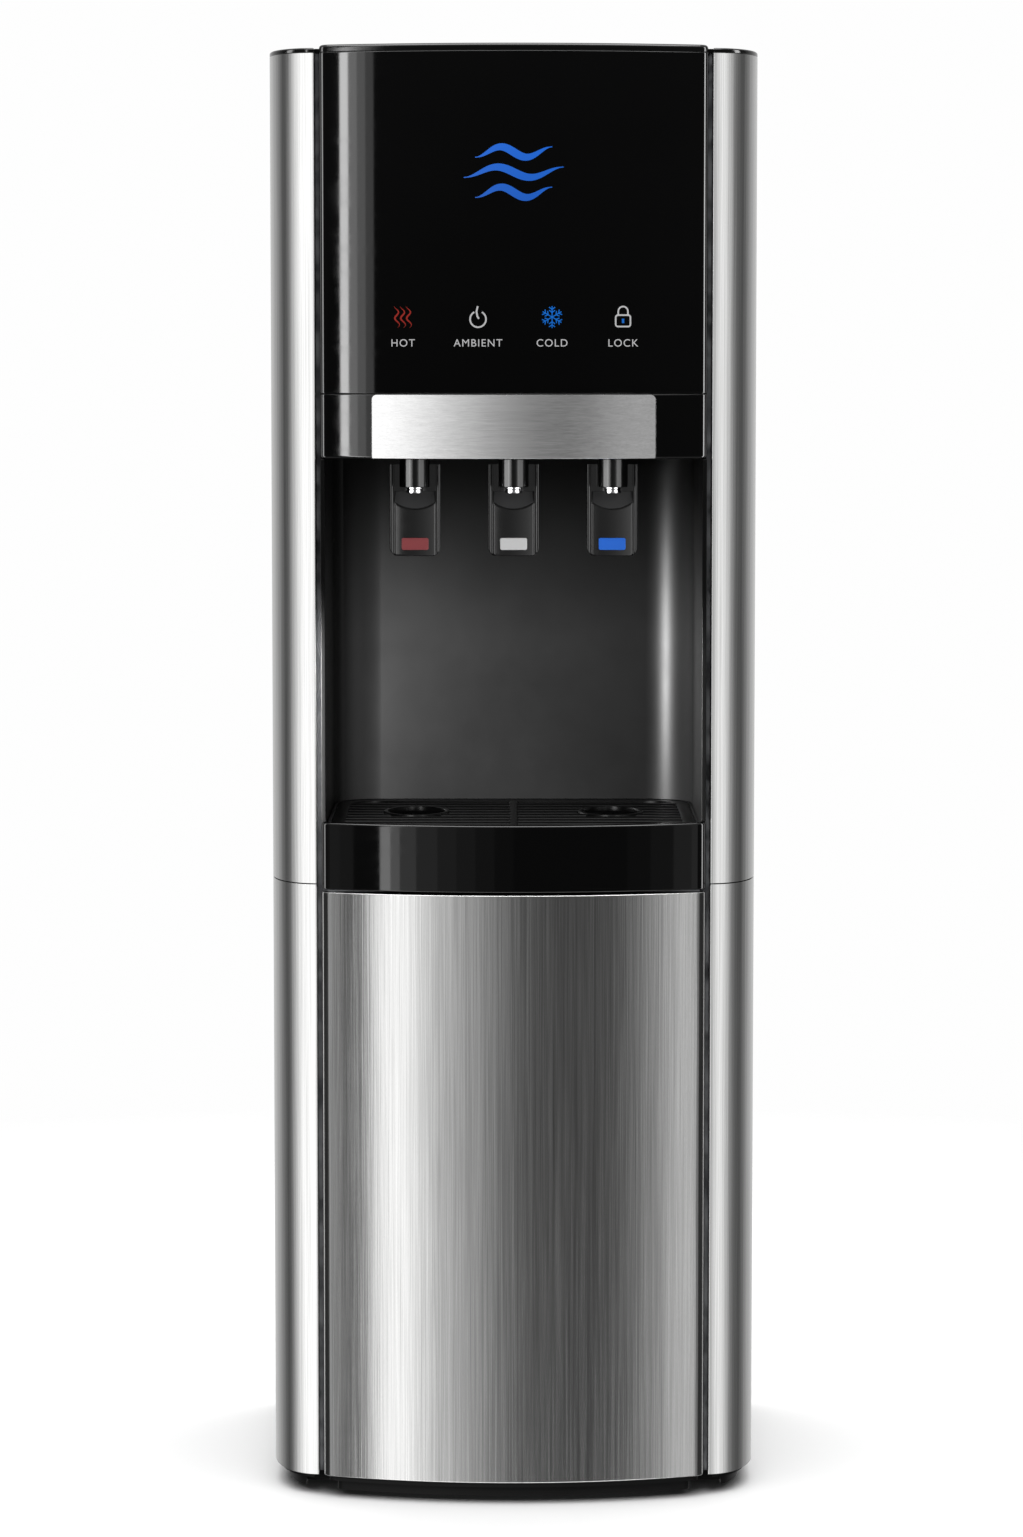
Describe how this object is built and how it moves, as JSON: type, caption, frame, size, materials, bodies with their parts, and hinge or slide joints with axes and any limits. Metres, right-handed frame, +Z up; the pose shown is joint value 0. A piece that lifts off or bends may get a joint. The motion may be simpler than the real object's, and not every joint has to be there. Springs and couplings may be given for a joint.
{
  "type": "water dispenser",
  "caption": "Floor-standing hot, ambient and cold water dispenser with push paddles over a sliding drip tray and a filter cabinet behind a curved door.",
  "frame": {"origin": "on the floor under the middle of the cabinet's overall box", "axes": "+Z up, the front faces -Y, +X to the right as seen from the front"},
  "size_m": [0.35, 0.36, 1.04],
  "materials": {
    "brushed_steel_wings": "vertical brushed grain",
    "brushed_steel_door": "vertical brushed grain",
    "brushed_steel_trim": "horizontal brushed grain",
    "gloss_black_front": "piano gloss",
    "black_lid": "gloss",
    "black_liner": "satin",
    "black_grille": "satin",
    "black_taps": "gloss",
    "chrome": "polished",
    "red_insert": "satin",
    "white_insert": "satin",
    "blue_insert": "satin",
    "black_base": "fine grain",
    "rubber": "matt",
    "painted_steel": "satin black paint",
    "plain_steel": "zinc plated",
    "stainless_tanks": "satin",
    "copper": "drawn copper",
    "brass": "machined",
    "white_plastic": "satin",
    "silicone": "translucent silicone",
    "foam": "moulded beads",
    "green_board": "solder mask",
    "dark_plastic": "satin",
    "red_rocker": "gloss",
    "green_rocker": "gloss"
  },
  "bodies": {
    "cabinet": {"base_pan": "black_base", "feet": "rubber", "frame_post_right": "black_liner", "frame_post_left": "black_liner", "middle_shelf": "painted_steel", "side_panel_lower_right": "brushed_steel_wings", "side_panel_lower_left": "brushed_steel_wings", "side_panel_upper_right": "brushed_steel_wings", "side_panel_upper_left": "brushed_steel_wings", "rear_panel": "painted_steel", "top_cover": "black_lid", "upper_fascia": "gloss_black_front", "header_panel": "gloss_black_front", "steel_trim_plate": "brushed_steel_trim", "touch_board": "green_board", "alcove_liner": "black_liner", "tap_bracket": "black_liner", "spout_sleeves": "black_taps", "spout_tips": "chrome", "paddle_pins": "plain_steel", "paddle_springs": "plain_steel", "microswitches": "dark_plastic", "solenoid_valves": "white_plastic", "door_magnet": "dark_plastic", "filter_manifold": "white_plastic", "cold_tank": "stainless_tanks", "evaporator_coil": "copper", "tank_insulation": "foam", "hot_tank": "stainless_tanks", "compressor": "painted_steel", "compressor_grommets": "rubber", "condenser_coil": "painted_steel", "condenser_wires": "painted_steel", "condenser_brackets": "painted_steel", "refrigerant_lines": "copper", "water_hoses": "silicone", "control_board": "green_board", "power_inlet": "black_base", "switch_housings": "black_base", "water_inlet_fitting": "brass", "drain_pipe": "dark_plastic", "panel_screws": "plain_steel"},
    "paddle_lever_hot": {"paddle_hot": "black_taps", "paddle_insert_hot": "red_insert"},
    "paddle_lever_ambient": {"paddle_ambient": "black_taps", "paddle_insert_ambient": "white_insert"},
    "paddle_lever_cold": {"paddle_cold": "black_taps", "paddle_insert_cold": "blue_insert"},
    "tray": {"drip_tray": "gloss_black_front"},
    "grille": {"drip_grille": "black_grille"},
    "door": {"door_skin": "brushed_steel_door", "door_liner": "black_liner", "door_pins": "plain_steel"},
    "sediment_cartridge": {"filter_sediment": "white_plastic"},
    "carbon_cartridge": {"filter_carbon": "white_plastic"},
    "mineral_cartridge": {"filter_mineral": "white_plastic"},
    "hot_rocker": {"rocker_hot": "red_rocker"},
    "cold_rocker": {"rocker_cold": "green_rocker"},
    "drain_plug": {"drain_cap": "dark_plastic"}
  },
  "joints": [
    {"name": "hot_paddle_push", "type": "hinge", "parent": "cabinet", "child": "paddle_lever_hot", "pos_m": [-0.071, -0.0975, 0.765], "axis": [1, 0, 0], "range_deg": [0, 10], "stiffness_Nm_per_rad": 0.12, "springref_deg": -11.46},
    {"name": "ambient_paddle_push", "type": "hinge", "parent": "cabinet", "child": "paddle_lever_ambient", "pos_m": [0, -0.0975, 0.765], "axis": [1, 0, 0], "range_deg": [0, 10], "stiffness_Nm_per_rad": 0.12, "springref_deg": -11.46},
    {"name": "cold_paddle_push", "type": "hinge", "parent": "cabinet", "child": "paddle_lever_cold", "pos_m": [0.071, -0.0975, 0.765], "axis": [1, 0, 0], "range_deg": [0, 10], "stiffness_Nm_per_rad": 0.12, "springref_deg": -11.46},
    {"name": "tray_slide", "type": "slide", "parent": "cabinet", "child": "tray", "axis": [0, -1, 0], "range_m": [0, 0.22]},
    {"name": "grille_lift", "type": "slide", "parent": "tray", "child": "grille", "axis": [0, 0, 1], "range_m": [0, 0.06]},
    {"name": "door_swing", "type": "hinge", "parent": "cabinet", "child": "door", "pos_m": [-0.1283, -0.1496, 0.0155], "axis": [0, 0, -1], "range_deg": [0, 110]},
    {"name": "sediment_filter_twist", "type": "hinge", "parent": "cabinet", "child": "sediment_cartridge", "pos_m": [-0.084, -0.0825, 0.4064], "axis": [0, 0, -1], "range_deg": [0, 90]},
    {"name": "carbon_filter_twist", "type": "hinge", "parent": "cabinet", "child": "carbon_cartridge", "pos_m": [0, -0.0825, 0.4064], "axis": [0, 0, -1], "range_deg": [0, 90]},
    {"name": "mineral_filter_twist", "type": "hinge", "parent": "cabinet", "child": "mineral_cartridge", "pos_m": [0.084, -0.0825, 0.4064], "axis": [0, 0, -1], "range_deg": [0, 90]},
    {"name": "hot_switch_rock", "type": "hinge", "parent": "cabinet", "child": "hot_rocker", "pos_m": [-0.01, 0.147, 0.3954], "axis": [1, 0, 0], "range_deg": [-18, 0]},
    {"name": "cold_switch_rock", "type": "hinge", "parent": "cabinet", "child": "cold_rocker", "pos_m": [0.02, 0.147, 0.3954], "axis": [1, 0, 0], "range_deg": [-18, 0]},
    {"name": "drain_cap_turn", "type": "hinge", "parent": "cabinet", "child": "drain_plug", "pos_m": [-0.11, 0.158, 0.3954], "axis": [0, 1, 0], "continuous": true}
  ]
}
